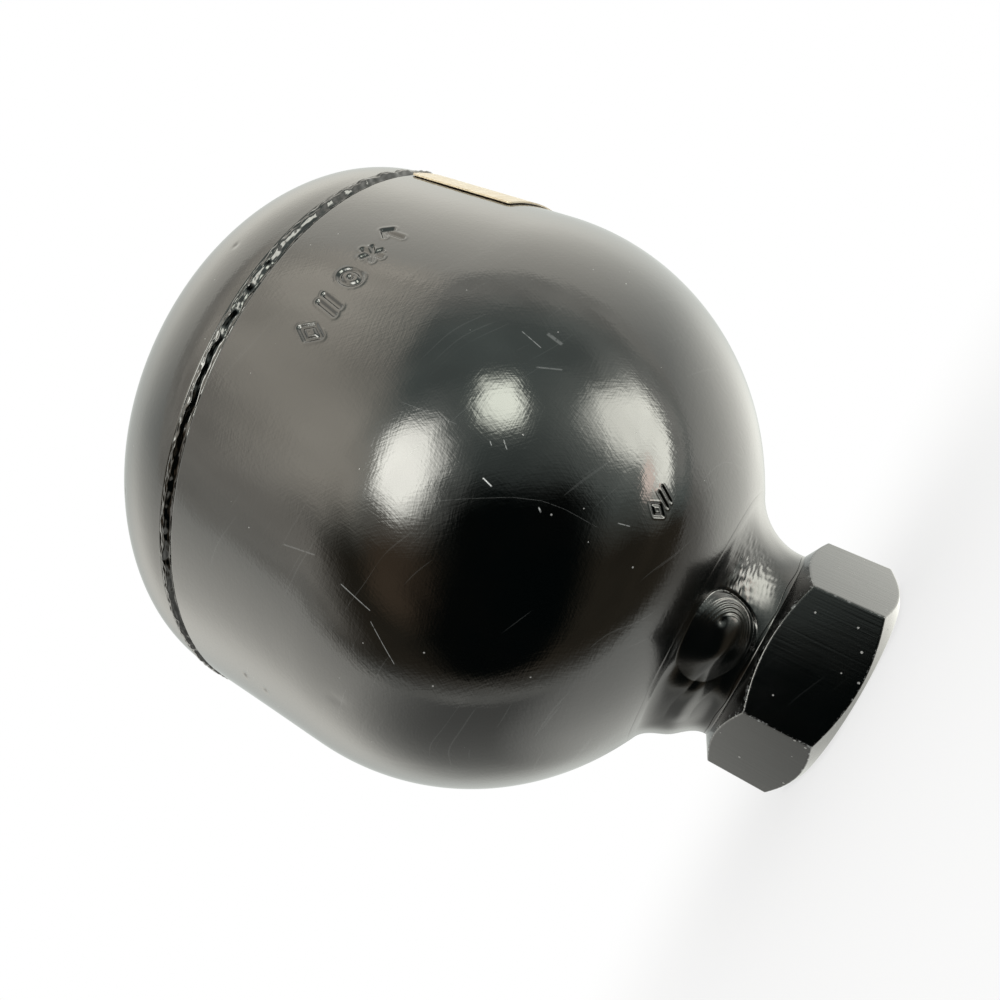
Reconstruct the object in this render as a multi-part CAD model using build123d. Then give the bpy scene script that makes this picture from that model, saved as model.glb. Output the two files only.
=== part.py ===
from build123d import *
import os
from math import cos, pi, radians, sin, sqrt, tan

# Welded diaphragm accumulator, in millimetres. The origin is the centre of the port's end
# face, where the part stands on its hexagon, and +Z runs along the axis to the gas end.
# r is the distance from the axis. Angles turn about +Z from +X.

# Shells
body_r = 60.5
wall = 6.0
oil_dome_h = 57.4
gas_dome_h = 37.2
oil_cylinder_h = 30.0
gas_cylinder_h = 2.6
hole_gap = 0.05

# Waist joint
waist_weld_w = 2.5
waist_weld_root_w = 1.0
waist_weld_crown = 0.55
waist_weld_sink = 0.4
waist_weld_ridge = 0.5
rebate_depth = 1.2
rebate_below = 10.0
rebate_above = 3.4

# Diaphragm and its clamping ring
rubber = 2.0
rubber_gap = 0.2
bead_h = 5.4
bead_w = 4.5
ring_w = 4.0
ring_gap = 0.05
ring_bevel = 1.0

# Port fitting
hex_af = 41.0
hex_h = 16.4
hex_chamfer_angle = 30.0
collar_r = 19.2
collar_h = 7.83
spigot_r = 17.0
thread_r = 9.316
thread_len = 15.0
thread_mouth = 1.3
thread_mouth_flat = 0.2
drill_angle = 59.0
oil_bore_r = 6.0
seat_recess_r = 11.0
seat_recess_h = 2.9
seat_chamfer = 0.6

# Port weld
port_weld_leg_collar = 7.4
port_weld_leg_shell = 7.3
port_weld_hollow = 1.5
lump_angle = -98.0
lump_rise = 0.5
lump_radial = 3.9
lump_around = 8.4
lump_along = 6.6
lump_tilt_angle = 30.0
ripples = 16
ripple_start_angle = -64.0
ripple_pitch_angle = 9.6
ripple_share = 0.72
ripple_proud = 0.4

# Valve button
button_r = 10.0
button_h = 2.7
button_gap = 0.2
button_stem_r = 3.2
button_cap_r = 7.0
button_cap_h = 1.6
pad_h = 3.4
pad_r = 12.0

# Gas boss, a thread of 28 x 1.5 mm, left plain here
boss_thread_r = 14.0
boss_thread_h = 8.6
boss_chamfer = 1.0
boss_collar_r = 15.5
boss_collar_h = 4.2
relief_r = 12.9
relief_h = 1.5
boss_spigot_r = 9.0
boss_spigot_past = 0.4
boss_weld_leg_collar = 2.9
boss_weld_leg_shell = 3.2
boss_weld_bulge = 0.35
well_r = 7.0
well_h = 9.2
gas_passage_r = 1.5

# Charging screw, size 8 mm with a hexagon socket
screw_r = 4.0
screw_len = 8.0
screw_tip = 0.8
screw_head_r = 6.5
screw_head_h = 7.0
screw_head_chamfer = 0.5
screw_socket_af = 6.0
screw_socket_h = 4.6
screw_gap = 0.08
screw_end_room = 1.0
seal_r = 6.3
seal_h = 1.3

# Nameplate, stuck on the cylinder under the waist weld
plate_w = 21.3
plate_len = 50.0
plate_t = 0.25
glue_t = 0.15
glue_inset = 0.3
plate_to_weld = 0.3
plate_start_angle = -37.7
plate_corner = 0.8

# Places worked out from the sizes
bore_r = body_r - wall
rebate_r = bore_r + rebate_depth
hex_corner_r = hex_af / 2 / cos(pi / 6)
boss_hole_r = boss_spigot_r + hole_gap
port_hole_r = spigot_r + hole_gap
collar_top = hex_h + collar_h


def dome_z(r, bottom, top_r, height, up):
    """Height of an elliptical dome's surface at radius r; its rim lies at bottom."""
    return bottom + up * height * sqrt(1 - (r / top_r) ** 2)


# The oil shell rests on the collar where its hole cuts the outside of the dome
oil_dome_z = collar_top - dome_z(port_hole_r, 0, body_r, oil_dome_h, -1)
seat_top = dome_z(port_hole_r, oil_dome_z, bore_r, oil_dome_h - wall, -1)
waist_z = oil_dome_z + oil_cylinder_h
gas_dome_z = waist_z + gas_cylinder_h
rebate_low = waist_z - rebate_below
rebate_high = waist_z + rebate_above
port_weld_toe_r = collar_r + port_weld_leg_shell
port_weld_toe_z = dome_z(port_weld_toe_r, oil_dome_z, body_r, oil_dome_h, -1)
port_weld_foot_z = collar_top - port_weld_leg_collar
boss_z = dome_z(boss_hole_r, gas_dome_z, body_r, gas_dome_h, 1)
boss_top = boss_z + boss_collar_h + relief_h + boss_thread_h
well_z = boss_top - well_h
screw_head_z = well_z + seal_h
gas_inner_z = dome_z(boss_hole_r, gas_dome_z, bore_r, gas_dome_h - wall, 1)


def turned(*edges):
    """Solid turned about Z from a closed outline of (r, z) edges."""
    return revolve(Plane.XZ * make_face(Wire(list(edges))), Axis.Z)


def turned_points(*points):
    """Solid turned about Z from a closed polygon of (r, z) corners."""
    return revolve(Plane.XZ * make_face(Polyline(*points, close=True)), Axis.Z)


def disc(r, low, high):
    return Pos(0, 0, low) * Cylinder(r, high - low, align=(Align.CENTER, Align.CENTER, Align.MIN))


def half_body(r, end_h, rim_z, seam_z, up):
    """Solid cup: half an ellipsoid from rim_z outwards and a cylinder on to seam_z."""
    pole = rim_z + up * end_h
    # With these weights the curve is an exact quarter of an ellipse
    dome = Bezier((r, rim_z), (r, pole), (0, pole), weights=[1, cos(pi / 4), 1])
    return turned(
        dome,
        Line((0, pole), (0, seam_z)),
        Line((0, seam_z), (r, seam_z)),
        Line((r, seam_z), (r, rim_z)),
    )


def weld_edge(up):
    """Bevelled band taken off a shell's edge to leave room for the waist weld."""
    far = waist_z - up * waist_weld_w
    return turned_points(
        (rebate_r, waist_z + up * waist_weld_root_w / 2),
        (body_r, waist_z + up * waist_weld_w / 2),
        (body_r + wall, waist_z + up * waist_weld_w / 2),
        (body_r + wall, far),
        (rebate_r, far),
    )


def outer_oil():
    return half_body(body_r, oil_dome_h, oil_dome_z, waist_z, -1)


def outer_gas():
    return half_body(body_r, gas_dome_h, gas_dome_z, waist_z, 1)


def oil_shell():
    """Deeper shell: dome with the port's hole, cylinder, and a rebate at the waist."""
    inside = half_body(bore_r, oil_dome_h - wall, oil_dome_z, waist_z, -1)
    shell = outer_oil() - inside - disc(rebate_r, rebate_low, waist_z) - weld_edge(-1)
    return shell - disc(port_hole_r, 0, oil_dome_z)


def gas_shell():
    """Flatter shell: dome with the boss's hole and a rebate at the waist."""
    inside = half_body(bore_r, gas_dome_h - wall, gas_dome_z, waist_z, 1)
    shell = outer_gas() - inside - disc(rebate_r, waist_z, rebate_high) - weld_edge(1)
    return shell - disc(boss_hole_r, gas_dome_z, gas_dome_z + gas_dome_h + wall)


def waist_weld():
    """Girth weld: fills the bevelled edges down to the ring. Its face is sunk beside the oil
    shell and rises to a ridge beside the gas shell."""
    half = waist_weld_w / 2
    root = waist_weld_root_w / 2
    sunk = waist_weld_sink / (body_r - rebate_r)
    edge = (body_r - waist_weld_sink, waist_z - half + (half - root) * sunk)
    valley = (body_r - waist_weld_sink, waist_z - half * waist_weld_ridge)
    ridge = (body_r + waist_weld_crown, waist_z + half * waist_weld_ridge)
    end = (body_r, waist_z + half)
    return turned(
        Line((rebate_r, waist_z - root), edge),
        Spline(edge, valley, ridge, end),
        Line(end, (rebate_r, waist_z + root)),
        Line((rebate_r, waist_z + root), (rebate_r, waist_z - root)),
    )


def clamping_ring():
    """Ring across the joint: holds the rubber bead down and backs the weld."""
    outer = rebate_r - ring_gap
    inner = rebate_r - ring_w
    low = rebate_low + bead_h
    return turned_points(
        (outer, low),
        (outer, rebate_high),
        (inner + ring_bevel, rebate_high),
        (inner, rebate_high - ring_bevel),
        (inner, low),
    )


def diaphragm():
    """Rubber bowl lying against the oil shell, with a rim bead and a pad for the button."""
    out_r = bore_r - rubber_gap
    out_h = oil_dome_h - wall - rubber_gap
    in_r = out_r - rubber
    in_h = out_h - rubber
    flat = seat_top + button_gap
    skin = half_body(out_r, out_h, oil_dome_z, rebate_low, -1)
    skin -= half_body(in_r, in_h, oil_dome_z, rebate_low, -1)
    skin -= disc(body_r, 0, flat)
    bead = disc(rebate_r - ring_gap, rebate_low, rebate_low + bead_h)
    bead -= disc(rebate_r - bead_w - rubber_gap, rebate_low, rebate_low + bead_h)
    floor = disc(seat_recess_r + wall, flat, flat + rubber)
    floor &= half_body(out_r, out_h, oil_dome_z, rebate_low, -1)
    pad = disc(pad_r, flat, flat + pad_h)
    hole = disc(button_stem_r + ring_gap, flat, flat + pad_h)
    return skin + bead + floor + pad - hole


def valve_button():
    """Closing button: disc over the seat, stem through the rubber, cap on top."""
    flat = seat_top + button_gap
    return turned_points(
        (0, flat - button_h),
        (button_r, flat - button_h),
        (button_r, flat),
        (button_stem_r, flat),
        (button_stem_r, flat + pad_h),
        (button_cap_r, flat + pad_h),
        (button_cap_r, flat + pad_h + button_cap_h),
        (0, flat + pad_h + button_cap_h),
    )


def hexagon():
    """Hexagon with both ends turned to a cone that starts at the collar's radius."""
    blank = extrude(RegularPolygon(hex_af / 2, 6, major_radius=False), hex_h)
    rise = (hex_corner_r - collar_r) * tan(radians(hex_chamfer_angle))
    envelope = turned_points(
        (0, 0),
        (collar_r, 0),
        (hex_corner_r, rise),
        (hex_corner_r, hex_h - rise),
        (collar_r, hex_h),
        (0, hex_h),
    )
    return blank & envelope


def port_bore():
    """Thread hole with its mouth, drill cone, oil bore and the button's seat recess."""
    thread_end = thread_mouth + thread_len
    cone = (thread_r - oil_bore_r) / tan(radians(drill_angle))
    recess = seat_top - seat_recess_h
    return turned_points(
        (0, 0),
        (thread_r + thread_mouth, 0),
        (thread_r + thread_mouth, thread_mouth_flat),
        (thread_r, thread_mouth),
        (thread_r, thread_end),
        (oil_bore_r, thread_end + cone),
        (oil_bore_r, recess - seat_chamfer),
        (oil_bore_r + seat_chamfer, recess),
        (seat_recess_r, recess),
        (seat_recess_r, seat_top),
        (0, seat_top),
    )


def port_fitting():
    """Turned fitting: hexagon, collar under the shell, spigot through it, all bored."""
    collar = disc(collar_r, hex_h, collar_top)
    spigot = disc(spigot_r, collar_top, seat_top)
    return hexagon() + collar + spigot - port_bore()


def port_weld_sector(hollow, arc):
    """Fillet weld round the collar over an arc, with a hollow or fuller face."""
    toe_r = port_weld_toe_r
    toe_z = port_weld_toe_z
    foot_z = port_weld_foot_z
    back_z = toe_z + wall / 2
    mid_r = (collar_r + toe_r) / 2 - hollow * sin(pi / 4)
    mid_z = (foot_z + toe_z) / 2 + hollow * cos(pi / 4)
    outline = Wire([
        ThreePointArc((collar_r, foot_z), (mid_r, mid_z), (toe_r, toe_z)),
        Line((toe_r, toe_z), (toe_r, back_z)),
        Line((toe_r, back_z), (collar_r, back_z)),
        Line((collar_r, back_z), (collar_r, foot_z)),
    ])
    return revolve(Plane.XZ * make_face(outline), Axis.Z, arc)


def on_collar(angle, radius, height, tilt):
    """Frame on the weld: X outwards, Y round the neck, Z tilted back along the weld face."""
    return Rot(0, 0, angle) * Pos(radius, 0, height) * Rot(0, tilt, 0)


def port_weld():
    """The weld band with its ripples and the lump where the run ends."""
    weld = port_weld_sector(port_weld_hollow, 360)
    ripple = port_weld_sector(port_weld_hollow - ripple_proud, ripple_pitch_angle * ripple_share)
    weld += [Rot(0, 0, ripple_start_angle + ripple_pitch_angle * i) * ripple for i in range(ripples)]
    lump = scale(Sphere(1), (lump_radial, lump_around, lump_along))
    lump_r = (collar_r + port_weld_toe_r) / 2
    lump_z = (port_weld_foot_z + port_weld_toe_z) / 2 + lump_rise
    weld += on_collar(lump_angle, lump_r, lump_z, lump_tilt_angle) * lump
    weld -= outer_oil()
    return weld - disc(collar_r, 0, oil_dome_z) - hexagon()


def gas_boss():
    """Turned boss: collar on the shell, relief groove, thread, spigot, well and passage."""
    collar_end = boss_z + boss_collar_h
    relief_end = collar_end + relief_h
    bottom = gas_inner_z - boss_spigot_past
    stem_end = screw_head_z - screw_len - screw_end_room
    body = turned_points(
        (0, bottom),
        (boss_spigot_r, bottom),
        (boss_spigot_r, boss_z),
        (boss_collar_r, boss_z),
        (boss_collar_r, collar_end),
        (relief_r, collar_end),
        (relief_r, relief_end),
        (boss_thread_r, relief_end),
        (boss_thread_r, boss_top - boss_chamfer),
        (boss_thread_r - boss_chamfer, boss_top),
        (0, boss_top),
    )
    body -= disc(well_r, well_z, boss_top)
    body -= disc(screw_r + screw_gap, stem_end, well_z)
    return body - disc(gas_passage_r, bottom, stem_end)


def gas_boss_weld():
    """Fillet weld between the boss's collar and the gas shell."""
    toe_r = boss_collar_r + boss_weld_leg_shell
    toe_z = dome_z(toe_r, gas_dome_z, body_r, gas_dome_h, 1)
    root_z = dome_z(boss_collar_r, gas_dome_z, body_r, gas_dome_h, 1)
    foot_z = root_z + boss_weld_leg_collar
    mid_r = (boss_collar_r + toe_r) / 2 + boss_weld_bulge * sin(pi / 4)
    mid_z = (foot_z + toe_z) / 2 + boss_weld_bulge * cos(pi / 4)
    band = turned(
        ThreePointArc((boss_collar_r, foot_z), (mid_r, mid_z), (toe_r, toe_z)),
        Line((toe_r, toe_z), (toe_r, toe_z - wall / 2)),
        Line((toe_r, toe_z - wall / 2), (boss_collar_r, toe_z - wall / 2)),
        Line((boss_collar_r, toe_z - wall / 2), (boss_collar_r, foot_z)),
    )
    return band - outer_gas()


def charging_screw():
    """Socket head screw standing in the boss's well, with its stem in the thread hole."""
    top = screw_head_z + screw_head_h
    tip = screw_head_z - screw_len
    body = turned_points(
        (0, tip),
        (screw_r - screw_tip, tip),
        (screw_r, tip + screw_tip),
        (screw_r, screw_head_z),
        (screw_head_r, screw_head_z),
        (screw_head_r, top - screw_head_chamfer),
        (screw_head_r - screw_head_chamfer, top),
        (0, top),
    )
    socket = extrude(RegularPolygon(screw_socket_af / 2, 6, major_radius=False), screw_socket_h)
    return body - Pos(0, 0, top - screw_socket_h) * socket


def charging_screw_seal():
    """Flat sealing ring between the screw's head and the floor of the well."""
    return disc(seal_r, well_z, screw_head_z) - disc(screw_r + screw_gap, well_z, screw_head_z)


def wrapped(low_r, high_r, start, span, low, high, corner):
    """Plate bent round the cylinder between two radii, with rounded corners."""
    mid_r = (low_r + high_r) / 2
    middle = start + span / 2
    width = 2 * mid_r * sin(radians(span / 2))
    outline = Rectangle(width, high - low)
    outline = fillet(outline.vertices(), corner)
    block = extrude(Plane.YZ * outline, high_r + wall)
    block = Rot(0, 0, middle) * Pos(0, 0, (low + high) / 2) * block
    band = disc(high_r, low, high) - disc(low_r, low, high)
    return band & block


def nameplate():
    high = waist_z - waist_weld_w / 2 - plate_to_weld
    span = plate_len / body_r * 180 / pi
    low_r = body_r + glue_t
    return wrapped(low_r, low_r + plate_t, plate_start_angle, span, high - plate_w, high, plate_corner)


def nameplate_adhesive():
    inset = glue_inset / body_r * 180 / pi
    high = waist_z - waist_weld_w / 2 - plate_to_weld - glue_inset
    low = high - plate_w + 2 * glue_inset
    span = plate_len / body_r * 180 / pi - 2 * inset
    start = plate_start_angle + inset
    return wrapped(body_r, body_r + glue_t, start, span, low, high, plate_corner - glue_inset)


PARTS = {
    "oil_shell": oil_shell,
    "gas_shell": gas_shell,
    "waist_weld": waist_weld,
    "clamping_ring": clamping_ring,
    "diaphragm": diaphragm,
    "valve_button": valve_button,
    "port_fitting": port_fitting,
    "port_weld": port_weld,
    "gas_boss": gas_boss,
    "gas_boss_weld": gas_boss_weld,
    "charging_screw": charging_screw,
    "charging_screw_seal": charging_screw_seal,
    "nameplate": nameplate,
    "nameplate_adhesive": nameplate_adhesive,
}

os.makedirs("parts", exist_ok=True)
for name, make in PARTS.items():
    shape = make()
    export_step(shape, f"parts/{name}.step")
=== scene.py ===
import math

import bpy
import numpy as np
from mathutils import Matrix


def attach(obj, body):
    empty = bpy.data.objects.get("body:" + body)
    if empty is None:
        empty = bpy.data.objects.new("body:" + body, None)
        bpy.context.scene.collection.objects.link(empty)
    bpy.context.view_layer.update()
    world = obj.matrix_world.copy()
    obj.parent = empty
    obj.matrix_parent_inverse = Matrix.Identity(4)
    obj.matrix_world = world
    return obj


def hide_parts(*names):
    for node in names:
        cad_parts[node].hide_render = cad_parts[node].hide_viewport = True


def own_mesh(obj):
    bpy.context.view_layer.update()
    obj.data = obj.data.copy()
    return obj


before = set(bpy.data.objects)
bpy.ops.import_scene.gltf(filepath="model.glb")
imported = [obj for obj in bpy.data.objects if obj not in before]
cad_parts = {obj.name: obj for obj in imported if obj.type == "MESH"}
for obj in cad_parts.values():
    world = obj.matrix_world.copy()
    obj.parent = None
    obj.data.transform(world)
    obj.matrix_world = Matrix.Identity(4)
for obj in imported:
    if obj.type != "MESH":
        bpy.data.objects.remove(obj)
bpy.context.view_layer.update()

# Sizes in millimetres, as in the part's source; meshes are scaled to metres when they are made.
# r is the distance from the axis and angles turn about +Z from +X.
BODY_R, WALL, HOLE_GAP = 60.5, 6.0, 0.05
OIL_DOME_H, GAS_DOME_H, OIL_CYLINDER_H, GAS_CYLINDER_H = 57.4, 37.2, 30.0, 2.6
WAIST_WELD_W, WAIST_WELD_ROOT_W, WAIST_WELD_CROWN = 2.5, 1.0, 0.55
REBATE_DEPTH, REBATE_BELOW, REBATE_ABOVE = 1.2, 10.0, 3.4
RUBBER, RUBBER_GAP, BEAD_H, BEAD_W = 2.0, 0.2, 5.4, 4.5
BUTTON_STEM_R, BUTTON_GAP, PAD_R, PAD_H = 3.2, 0.2, 12.0, 3.4
HEX_AF, HEX_H, HEX_CHAMFER_ANGLE = 41.0, 16.4, 30.0
COLLAR_R, COLLAR_H, SPIGOT_R = 19.2, 7.83, 17.0
THREAD_R, THREAD_LEN, THREAD_MOUTH, THREAD_MOUTH_FLAT, DRILL_ANGLE = 9.316, 15.0, 1.3, 0.2, 59.0
OIL_BORE_R, SEAT_RECESS_R, SEAT_RECESS_H, SEAT_CHAMFER = 6.0, 11.0, 2.9, 0.6
PORT_WELD_LEG_COLLAR, PORT_WELD_LEG_SHELL = 7.4, 7.3
BOSS_SPIGOT_R, BOSS_SPIGOT_PAST, BOSS_COLLAR_R, BOSS_COLLAR_H = 9.0, 0.4, 15.5, 4.2
RELIEF_R, RELIEF_H, BOSS_THREAD_R, BOSS_THREAD_H, BOSS_CHAMFER = 12.9, 1.5, 14.0, 8.6, 1.0
BOSS_WELD_LEG_COLLAR, BOSS_WELD_LEG_SHELL = 2.9, 3.2
WELL_R, WELL_H, GAS_PASSAGE_R, SEAL_H = 7.0, 9.2, 1.5, 1.3
SCREW_R, SCREW_GAP, SCREW_LEN, SCREW_END_ROOM = 4.0, 0.08, 8.0, 1.0

# The forms of the two threads, which the part leaves plain
THREAD_PITCH, THREAD_DEPTH = 1.814, 1.1
BOSS_THREAD_PITCH, BOSS_THREAD_DEPTH = 1.5, 0.92

MM_A_METRE = 1000
WELD_HALF, ROOT_HALF = WAIST_WELD_W / 2, WAIST_WELD_ROOT_W / 2
BORE_R = BODY_R - WALL
PORT_HOLE_R, BOSS_HOLE_R = SPIGOT_R + HOLE_GAP, BOSS_SPIGOT_R + HOLE_GAP
COLLAR_TOP = HEX_H + COLLAR_H
OIL_DOME_Z = COLLAR_TOP + OIL_DOME_H * math.sqrt(1 - (PORT_HOLE_R / BODY_R) ** 2)
SEAT_TOP = OIL_DOME_Z - (OIL_DOME_H - WALL) * math.sqrt(1 - (PORT_HOLE_R / BORE_R) ** 2)
WAIST_Z = OIL_DOME_Z + OIL_CYLINDER_H
GAS_DOME_Z = WAIST_Z + GAS_CYLINDER_H
REBATE_R = BORE_R + REBATE_DEPTH
REBATE_LOW, REBATE_HIGH = WAIST_Z - REBATE_BELOW, WAIST_Z + REBATE_ABOVE
BOSS_Z = GAS_DOME_Z + GAS_DOME_H * math.sqrt(1 - (BOSS_HOLE_R / BODY_R) ** 2)
GAS_INNER_Z = GAS_DOME_Z + (GAS_DOME_H - WALL) * math.sqrt(1 - (BOSS_HOLE_R / BORE_R) ** 2)
BOSS_TOP = BOSS_Z + BOSS_COLLAR_H + RELIEF_H + BOSS_THREAD_H
WELL_Z = BOSS_TOP - WELL_H
SCREW_HEAD_Z = WELL_Z + SEAL_H


# Meshes

def column(values):
    return np.asarray(values, float)[:, None]


def smooth(x, low, high):
    """Smooth step from 0 at low to 1 at high."""
    t = np.clip((x - low) / (high - low), 0, 1)
    return t * t * (3 - 2 * t)


def stepped(*spans, end):
    """Numbers in spans of (start, step), each span up to the start of the next."""
    stops = [start for start, _ in spans[1:]] + [end]
    return np.concatenate([np.arange(start, stop, step) for (start, step), stop in zip(spans, stops)])


def turn_from(theta, centre):
    """Angles in degrees from a centre, between -180 and 180, for theta in radians."""
    return (np.degrees(theta) - centre + 180) % 360 - 180


def wave_noise(x, y, seed, scale):
    """Soft noise of about -1 to 1 that closes round the axis: a sum of waves. x is the angle in
    radians and scale the usual number of waves in a turn."""
    waves = 7
    draw = np.random.default_rng(seed)
    total = np.zeros(np.broadcast(x, y).shape)
    for _ in range(waves):
        around = draw.integers(max(1, int(scale * 0.5)), int(scale * 1.6) + 2)
        along = draw.normal(0, 1)
        total += np.sin(around * x + along * y * scale / 22 + draw.uniform(0, 6.28)) * draw.uniform(0.5, 1)
    return total / waves ** 0.5 / 0.8


def turned(name, r, z, theta):
    """Closed surface from a profile r, z that runs up on the outside: rows, or rows by columns, with
    the columns at the angles theta."""
    r, z = r + 0 * theta, z + 0 * theta
    points = np.stack([r * np.cos(theta), r * np.sin(theta), z], -1)
    rows, cols = r.shape
    index = np.arange(rows * cols).reshape(rows, cols)
    above = np.roll(index, -1, 0)
    quads = np.stack([index, np.roll(index, -1, 1), np.roll(above, -1, 1), above], -1).reshape(-1, 4)
    mesh = bpy.data.meshes.new(name)
    mesh.vertices.add(rows * cols)
    mesh.vertices.foreach_set("co", (points / MM_A_METRE).astype(np.float32).ravel())
    mesh.loops.add(quads.size)
    mesh.loops.foreach_set("vertex_index", quads.astype(np.int32).ravel())
    mesh.polygons.add(len(quads))
    mesh.polygons.foreach_set("loop_start", np.arange(0, quads.size, 4, dtype=np.int32))
    mesh.polygons.foreach_set("use_smooth", np.ones(len(quads), bool))
    mesh.update(calc_edges=True)
    mesh.validate()
    obj = bpy.data.objects.new(name, mesh)
    bpy.context.scene.collection.objects.link(obj)
    return obj


def closed(name, face, back, theta):
    """Closed surface from the rows r, z of a face and the rows that lie behind it."""
    r, z = (np.concatenate(rows) for rows in zip(face, back))
    return turned(name, r, z, theta)


def rounded(corners, steps=4):
    """Closed profile with its corners (r, z, fillet radius) rounded, and points beside each
    fillet so that the flats beside it stay flat in the shading."""
    support, nearly_straight, most_of_side = 0.12, 1.55, 0.45
    out = []
    n = len(corners)
    for i in range(n):
        p0, p1, p2 = (np.array(corners[j % n][:2], float) for j in (i - 1, i, i + 1))
        radius = corners[i][2]
        a, b = p0 - p1, p2 - p1
        length_a, length_b = np.linalg.norm(a), np.linalg.norm(b)
        a, b = a / length_a, b / length_b
        half = math.acos(max(-1, min(1, float(a @ b)))) / 2
        if radius <= 0 or half > nearly_straight:
            out.append(p1)
            continue
        reach = min(radius / math.tan(half), most_of_side * length_a, most_of_side * length_b)
        radius = reach * math.tan(half)
        middle = (a + b) / np.linalg.norm(a + b)
        centre = p1 + middle * radius / math.sin(half)
        if length_a > reach * 2 + support * 2.5:
            out.append(p1 + a * (reach + support))
        first, last = p1 + a * reach - centre, p1 + b * reach - centre
        start, end = math.atan2(first[1], first[0]), math.atan2(last[1], last[0])
        turn = (end - start + math.pi) % (2 * math.pi) - math.pi
        for k in range(steps + 1):
            w = start + turn * k / steps
            out.append(centre + radius * np.array([math.cos(w), math.sin(w)]))
        if length_b > reach * 2 + support * 2.5:
            out.append(p1 + b * (reach + support))
    return np.array(out)


def ellipse_arc(r_top, height, rim_z, up, r_from, r_to, count):
    """Points on a dome between two radii, spaced evenly in the ellipse's own angle."""
    w = np.linspace(math.asin(r_from / r_top), math.asin(r_to / r_top), count)
    return r_top * np.sin(w), rim_z + up * height * np.cos(w)


def on_oil_dome(r):
    """Height of the oil shell's outside at a radius."""
    return OIL_DOME_Z - OIL_DOME_H * np.sqrt(1 - (r / BODY_R) ** 2)


def on_gas_dome(r):
    """Height of the gas shell's outside at a radius."""
    return GAS_DOME_Z + GAS_DOME_H * np.sqrt(1 - (r / BODY_R) ** 2)


# Punched marks on the oil shell

def strokes_distance(x, y, strokes):
    """Distance from points to the nearest of some line strokes (x0, y0, x1, y1)."""
    best = np.full(x.shape, 1e9)
    for x0, y0, x1, y1 in strokes:
        dx, dy = x1 - x0, y1 - y0
        t = np.clip(((x - x0) * dx + (y - y0) * dy) / (dx * dx + dy * dy + 1e-12), 0, 1)
        best = np.minimum(best, np.hypot(x - x0 - t * dx, y - y0 - t * dy))
    return best


def oval_strokes(radius, squash):
    """An oval as 16 strokes, its height the squash times its width."""
    w = np.linspace(0, 2 * math.pi, 17)
    x, y = radius * np.cos(w), radius * squash * np.sin(w)
    return list(zip(x[:-1], y[:-1], x[1:], y[1:]))


def outline_strokes(*points):
    """Strokes round a closed outline."""
    return [(*points[i - 1], *points[i]) for i in range(len(points))]


def scaled(strokes, share):
    return [tuple(share * value for value in stroke) for stroke in strokes]


# Plain generic signs, each about as large as the punched ones
DIAMOND = outline_strokes((0, -2.1), (1.35, 0), (0, 2.1), (-1.35, 0))
DOUBLE_BAR = [(-1.2, -1.9, -0.2, 1.9), (0.3, -1.9, 1.3, 1.9)]
RING_WITH_DOT = oval_strokes(1.45, 1.35) + [(0, -0.1, 0, 0.1)]
STAR = [(0, -1.9, 0.1, 1.9), (-1.4, -1.0, 1.4, 0.9), (-1.4, 1.0, 1.4, -1.0)]
ARROW = [(0, -2.0, 0, 2.0), (-1.15, 0.7, 0, 2.0), (1.15, 0.7, 0, 2.0)]

# Two rows of them, as angles and signs: the big ones stand at a height, the small ones at a radius
BIG_MARKS = [
    (-80.85, DIAMOND), (-75.85, DOUBLE_BAR), (-70.35, RING_WITH_DOT), (-64.95, STAR), (-59.75, ARROW),
]
BIG_MARKS_Z, BIG_HALF_WIDTH, BIG_DEPTH = 94.4, 0.42, 0.3
SMALL_MARKS = [(-77.5, scaled(DIAMOND, 0.7)), (-74.3, scaled(DOUBLE_BAR, 0.7))]
SMALL_MARKS_R, SMALL_HALF_WIDTH, SMALL_DEPTH = 42.6, 0.24, 0.17


def mark_depth(distance, half_width, depth):
    """Depth of a punched groove with a soft floor and a faint raised rim beside it."""
    groove = depth * (1 - smooth(distance, half_width * 0.25, half_width * 1.35))
    rim = 0.16 * depth * np.exp(-((distance - half_width * 1.75) / (half_width * 0.55)) ** 2)
    return groove - rim


def marks_sink(theta, r, z, dome_rows):
    """How far the signs sink each point of the skin; a sign reaches less than 4 mm from its middle."""
    angle = np.degrees(theta)[None, :]
    sink = np.zeros((len(r), len(theta)))
    for mark_angle, strokes in BIG_MARKS:
        x = np.radians(angle - mark_angle) * BODY_R + 0 * column(z)
        y = column(z) - BIG_MARKS_Z + 0 * angle
        near = (abs(x) < 4) & (abs(y) < 4)
        distance = strokes_distance(x[near], y[near], strokes)
        sink[near] = np.maximum(sink[near], 0) + mark_depth(distance, BIG_HALF_WIDTH, BIG_DEPTH)
    along = run_along(r, z)
    middle = np.interp(SMALL_MARKS_R, r[:dome_rows], along[:dome_rows])
    for mark_angle, strokes in SMALL_MARKS:
        x = np.radians(angle - mark_angle) * column(r)
        y = column(along) - middle + 0 * angle
        near = (abs(x) < 3) & (abs(y) < 3) & (column(r) < BODY_R * 0.99)
        distance = strokes_distance(x[near], y[near], strokes)
        sink[near] += mark_depth(distance, SMALL_HALF_WIDTH, SMALL_DEPTH)
    return sink


# Shells

# Small pits in the gas shell and knocks in the oil shell: angle, height, size, depth
PITS = [(-71.7, 118.5, 0.6, 0.16), (-119.0, 124.2, 0.6, 0.12)]
KNOCKS = [(-143.8, 92.8, 0.55, 0.30), (-144.6, 87.9, 0.55, 0.30), (-133.2, 69.9, 0.7, 0.18)]

EDGE_BREAK = 0.12


def run_along(r, z):
    """Length along a profile at each of its points."""
    return np.concatenate([[0], np.cumsum(np.hypot(np.diff(r), np.diff(z)))])


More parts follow.
